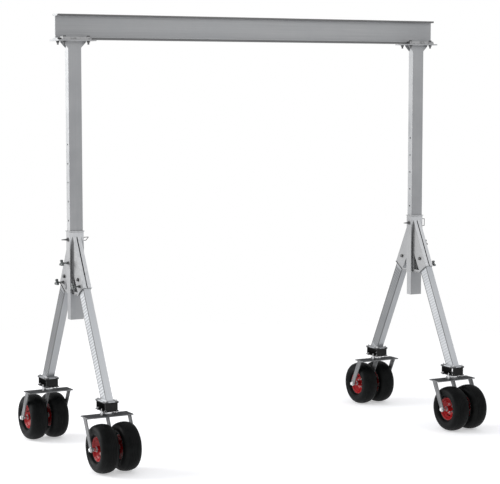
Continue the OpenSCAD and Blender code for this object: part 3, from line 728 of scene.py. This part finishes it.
# %% Pivot bolts and clamp bolts
HEAD_PLATE = 10 * MM
BIG_THREAD = 16 * MM
for end in ENDS:
    low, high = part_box(f"{end}_pivot_bolts")
    reach = (high.x - low.x) / 2
    pivots = [Vector(JOINTS[f"{end}_{row}_leg_fold"]["pos_m"]) for row in ("front", "back")]
    bm = bmesh.new()
    for pivot in pivots:
        drum(bm, pivot - Vector((reach - 13 * MM, 0, 0)), (1, 0, 0), 10 * MM, 2 * reach - 26 * MM, 40)
        for out in (1, -1):
            seat = pivot + Vector((out * (reach - 16 * MM), 0, 0))
            hexagon(bm, seat, (out, 0, 0), BIG_THREAD, 13 * MM, 3 * MM)
    make_piece(bm, f"{end}_pivot_hardware", f"{end}_frame", dark_zinc, [f"{end}_pivot_bolts"])

    low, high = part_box(f"{end}_clamp_bolts")
    plate_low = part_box(f"{end}_post")[1].z - HEAD_PLATE
    bm = bmesh.new()
    for x, y in corner_points(low, high, 13.86 * MM):
        drum(bm, (x, y, low.z), (0, 0, 1), 8 * MM, high.z - low.z - 2 * MM, 28, bevel=1.2 * MM)
        hexagon(bm, (x, y, high.z - 10 * MM), (0, 0, 1), BIG_THREAD, 10 * MM)
        hexagon(bm, (x, y, plate_low), (0, 0, -1), BIG_THREAD, 11 * MM, 2 * MM)
    make_piece(bm, f"{end}_clamp_hardware", f"{end}_post", dark_zinc, [f"{end}_clamp_bolts"])
print("pivot and clamp bolts made")

# %% [markdown]
# ### Clamp knobs
# The knobs are castings with three round lobes on a threaded stem. Each lobe is a short cylinder with
# well rounded edges, and a short arm joins it to the hub. A lock nut sits on the stem behind the knob.


# %% Clamp knobs
KNOB_HEAD = 25 * MM
SCREW_PITCH = 2.2 * MM
LOBE_CIRCLE = 20.5 * MM
LOBES = 3


def lobed_knob(node, body, joint):
    """A three-lobed hand knob on its screw, along the joint's axis."""
    low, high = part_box(node)
    out = Vector(JOINTS[joint]["axis"])
    at = Vector(JOINTS[joint]["pos_m"])
    tip, end = (low.x, high.x) if out.x > 0 else (high.x, low.x)
    length = abs(end - tip)
    bm = bmesh.new()
    drum(bm, (tip, at.y, at.z), out, 6 * MM, length - KNOB_HEAD + 2 * MM, 32)
    nut = Vector((tip + out.x * (length - KNOB_HEAD - 40 * MM), at.y, at.z))
    hexagon(bm, nut, out, 13 * MM, 8 * MM)
    turns = int((length - KNOB_HEAD) / SCREW_PITCH)
    for i in range(2, turns):
        drum(bm, (tip + out.x * i * SCREW_PITCH, at.y, at.z), out, 6.5 * MM, SCREW_PITCH / 2, 24, 6.0 * MM)
    start = end - out.x * KNOB_HEAD
    drum(bm, (start - out.x * 6 * MM, at.y, at.z), out, 11 * MM, 8 * MM, 32, bevel=1.5 * MM)
    drum(bm, (start, at.y, at.z), out, 13 * MM, KNOB_HEAD - 4 * MM, 40, bevel=4 * MM)
    for i in range(LOBES):
        angle = math.radians(360 / LOBES * i + 90)
        spoke = Vector((0, math.cos(angle), math.sin(angle)))
        spot = Vector((start, at.y, at.z)) + spoke * LOBE_CIRCLE
        drum(bm, spot, out, 10 * MM, KNOB_HEAD - 1 * MM, 32, bevel=4.5 * MM)
        drum(bm, spot - spoke * 12 * MM + out * 11 * MM, spoke, 7 * MM, 12 * MM, 24)
    return make_piece(bm, f"{node}_casting", body, knob_casting, [node], sharp=50)


for end in ENDS:
    lobed_knob(f"{end}_sleeve_knob", f"{end}_sleeve_knob", f"{end}_sleeve_knob_turn")
for corner in CORNERS:
    lobed_knob(f"{corner}_leg_knob", f"{corner}_leg_knob", f"{corner}_leg_knob_turn")
print("knobs made:", len(ENDS) + len(CORNERS))

# %% [markdown]
# ### Pin bushes
# Where the height pin's nose comes out of the sleeve, a turned bush keeps the hole from wearing. It is
# a spun ring with a chamfered face, and it stays on the bracket when the pin is pulled.

# %% Pin bushes
SLEEVE_HALF = 63 * MM
BUSH = [(0, 8.4), (-9, 8.4), (-10, 9.5), (-10, 13.5), (-8.5, 15), (-4, 15), (-3, 17), (0, 17)]
for end in ENDS:
    post = middle(f"{end}_post")
    pin_low, pin_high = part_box(f"{end}_height_pin")
    ring_middle = (pin_low.z + pin_high.z) / 2
    bm = bmesh.new()
    spun(bm, [(x * MM, r * MM) for x, r in BUSH], (post.x - SLEEVE_HALF, post.y, ring_middle), 48)
    make_piece(bm, f"{end}_pin_bush", f"{end}_frame", dark_zinc)
print("pin bushes made:", len(ENDS))

# %% [markdown]
# ## Ribbed legs
# The broad sides of each leg carry shallow ribs across the tube, which keep a hand from slipping. A
# grid along the leg with two rows in every four raised makes the ribs, and extruding it down closes the
# strip.

# %% Leg ribs
RIB_PITCH = 25 * MM
RIB_HEIGHT = 1.1 * MM
RIB_START = 138 * MM
RIB_END = 28 * MM
RIB_EDGE = 7 * MM
LEG_WIDE = 105 * MM
LEG_THICK = 60 * MM


def ribbed_strip(bm, place, length, width, height):
    """A closed strip of ribs on the XY plane, along Y, moved into place by a matrix."""
    depth = bm.verts.layers.float_color.get(DEPTH) or bm.verts.layers.float_color.new(DEPTH)
    rows = int(length / RIB_PITCH) * 4
    top = bmesh.ops.create_grid(bm, x_segments=1, y_segments=rows, size=0.5)["verts"]
    for vert in top:
        raised = round((vert.co.y + 0.5) * rows) % 4 in (1, 2)
        vert[depth] = (0, 0, 0, 1) if raised else (1, 1, 1, 1)
        vert.co = Vector((vert.co.x * width, vert.co.y * length, height if raised else 0.3 * MM))
    faces = list({face for vert in top for face in vert.link_faces})
    lower = bmesh.ops.extrude_face_region(bm, geom=faces)["geom"]
    bottom = [part for part in lower if isinstance(part, bmesh.types.BMVert)]
    for vert in bottom:
        vert.co.z = -0.4 * MM
    bmesh.ops.transform(bm, matrix=place, verts=top + bottom)


for corner in CORNERS:
    lean, pivot, foot = leg_lean(corner)
    along = (foot - pivot).normalized()
    span = (foot - pivot).length - RIB_START - RIB_END
    centre = pivot + along * (RIB_START + span / 2)
    bm = bmesh.new()
    for out in (1, -1):
        normal = Vector((out, 0, 0))
        across = along.cross(normal)
        turn_to = Matrix((across, along, normal)).transposed().to_4x4()
        place = Matrix.Translation(centre + normal * LEG_THICK / 2) @ turn_to
        ribbed_strip(bm, place, span, LEG_WIDE - 2 * RIB_EDGE, RIB_HEIGHT)
    make_piece(bm, f"{corner}_leg_ribs", f"{corner}_leg", rib_finish[corner], sharp=20)
print("ribs every", RIB_PITCH / MM, "mm on", len(CORNERS), "legs")

# %% [markdown]
# ## Weld beads
# Welded joints are never bare corners. A bead is a thin tube whose radius swells and shrinks with each
# drop of metal. A grid rolled into a tube does it: one side of the grid runs along the seam, the other
# goes round.

# %% Weld beads
BEAD_STEP = 5.5 * MM


def bead(bm, start, end, radius):
    """A rippled weld bead between two points, tapered at both ends."""
    start, end = Vector(start), Vector(end)
    along = end - start
    rows = max(8, int(along.length / BEAD_STEP) * 4)
    turn_to = toward(along)
    made = bmesh.ops.create_grid(bm, x_segments=8, y_segments=rows, size=0.5)
    for vert in made["verts"]:
        share = vert.co.y + 0.5
        angle = vert.co.x * math.tau
        ripple = 0.82 + 0.18 * abs(math.sin(share * along.length / BEAD_STEP * math.pi))
        close = min(1.0, 6 * min(share, 1 - share) * along.length / (8 * radius) + 0.02)
        size = radius * ripple * close
        vert.co = Vector((size * math.cos(angle), size * math.sin(angle), share * along.length))
    bmesh.ops.transform(bm, matrix=Matrix.Translation(start) @ turn_to, verts=made["verts"])


def loop_of_beads(bm, low, high, z, radius):
    """Beads round the four sides of an upright tube at a height."""
    corners = [(low.x, low.y, z), (high.x, low.y, z), (high.x, high.y, z), (low.x, high.y, z)]
    for a, b in zip(corners, corners[1:] + corners[:1]):
        bead(bm, a, b, radius)


POST_HALF = Vector((58 * MM, 32.5 * MM, 0))
for end in ENDS:
    post = middle(f"{end}_post")
    plate_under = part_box(f"{end}_post")[1].z - HEAD_PLATE
    bm = bmesh.new()
    loop_of_beads(bm, post - POST_HALF, post + POST_HALF, plate_under, 3.2 * MM)
    for out in (1, -1):
        for face in (1, -1):
            foot_y = post.y + face * 29.5 * MM
            bead(bm, (post.x + out * 58 * MM, foot_y, plate_under - 54 * MM),
                 (post.x + out * 58 * MM, foot_y, plate_under), 2.8 * MM)
            bead(bm, (post.x + out * 60 * MM, foot_y, plate_under),
                 (post.x + out * 101 * MM, foot_y, plate_under), 2.8 * MM)
    make_piece(bm, f"{end}_head_welds", f"{end}_post", weld_metal, sharp=60)

    low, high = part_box(f"{end}_bracket")
    centre = (low + high) / 2
    bm = bmesh.new()
    for out in (1, -1):
        for face in (1, -1):
            y = face * 37.5 * MM
            bead(bm, (centre.x + out * 36.6 * MM, y, low.z + 4 * MM),
                 (centre.x + out * 36.6 * MM, y, high.z - 52 * MM), 2.6 * MM)
    make_piece(bm, f"{end}_bracket_welds", f"{end}_frame", weld_metal, sharp=60)

LOCK_GAP = 1 * MM
FORK_PLATE = 9 * MM
ARM_PITCH = 196 * MM
ARM_HALF = 4.5 * MM
for corner in CORNERS:
    lean, pivot, foot = leg_lean(corner)
    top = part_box(f"{corner}_adapter")[1].z + FOOT_PLATE
    half_y = LEG_WIDE / 2 / math.cos(lean)
    size = Vector((LEG_THICK / 2, half_y, 0))
    bm = bmesh.new()
    loop_of_beads(bm, foot - size, foot + size, top, 3.4 * MM)
    make_piece(bm, f"{corner}_foot_weld", f"{corner}_leg", weld_metal, sharp=60)

    swivel = middle(f"{corner}_swivel_head")
    bm = bmesh.new()
    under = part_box(f"{corner}_direction_lock")[0].z - LOCK_GAP - FORK_PLATE
    for x in (-ARM_PITCH, 0, ARM_PITCH):
        for out in (1, -1):
            edge = swivel.x + x + out * ARM_HALF
            bead(bm, (edge, swivel.y - 30 * MM, under), (edge, swivel.y + 30 * MM, under), 2.8 * MM)
    make_piece(bm, f"{corner}_fork_welds", f"{corner}_fork", fork_zinc, sharp=60)
print("weld beads made")

# %% [markdown]
# ## Light and floor
# Soft studio light: a large panel behind to the left lifts the narrow sides of the tubes, a weaker one
# in front fills, and an even sky does the rest. The floor is a pale disc that fades out, so no horizon
# cuts the picture.


# %% Light and floor
def panel_light(name, place, target, size, power):
    """A soft square light that faces a target."""
    light = bpy.data.lights.new(name, "AREA")
    light.size = size
    light.energy = power
    lamp = bpy.data.objects.new(name, light)
    bpy.context.scene.collection.objects.link(lamp)
    lamp.location = place
    lamp.rotation_mode = "QUATERNION"
    lamp.rotation_quaternion = (Vector(target) - Vector(place)).to_track_quat("-Z", "Y")


CRANE_MIDDLE = (0, 0, 1.8)
panel_light("left_panel", (-9, 5.5, 4.5), CRANE_MIDDLE, 6, 900)
panel_light("front_panel", (5, -9, 7), CRANE_MIDDLE, 5, 160)

world = bpy.data.worlds.new("studio")
bpy.context.scene.world = world
world.use_nodes = True
sky = world.node_tree.nodes["Background"]
sky.inputs["Color"].default_value = (0.60, 0.605, 0.62, 1)
white = world.node_tree.nodes.new("ShaderNodeBackground")
white.inputs["Color"].default_value = (1, 1, 1, 1)
seen = world.node_tree.nodes.new("ShaderNodeLightPath")
choice = world.node_tree.nodes.new("ShaderNodeMixShader")
links = world.node_tree.links
links.new(seen.outputs["Is Camera Ray"], choice.inputs["Fac"])
links.new(sky.outputs["Background"], choice.inputs[1])
links.new(white.outputs["Background"], choice.inputs[2])
links.new(choice.outputs["Shader"], world.node_tree.nodes["World Output"].inputs["Surface"])

FLOOR_GLOW = 0.42
FLOOR_SOLID = 2.6
FLOOR_END = 7.0
floor_graph = Graph("pale_floor")
distance = floor_graph.add(
    "ShaderNodeVectorMath", {0: floor_graph.place}, operation="LENGTH").outputs["Value"]
floor_graph.wire(Base_Color=(0.86, 0.86, 0.87, 1), Roughness=0.7,
                 Emission_Color=(1, 1, 1, 1), Emission_Strength=FLOOR_GLOW,
                 Alpha=floor_graph.between(distance, FLOOR_SOLID, FLOOR_END, 1.0, 0.0))
bm = bmesh.new()
bmesh.ops.create_circle(bm, cap_ends=True, segments=96, radius=FLOOR_END)
floor_mesh = bpy.data.meshes.new("floor")
bm.to_mesh(floor_mesh)
bm.free()
floor = bpy.data.objects.new("floor", floor_mesh)
bpy.context.scene.collection.objects.link(floor)
floor.location.z = -1 * MM
dress(floor, floor_graph.material)
print("light and floor set")
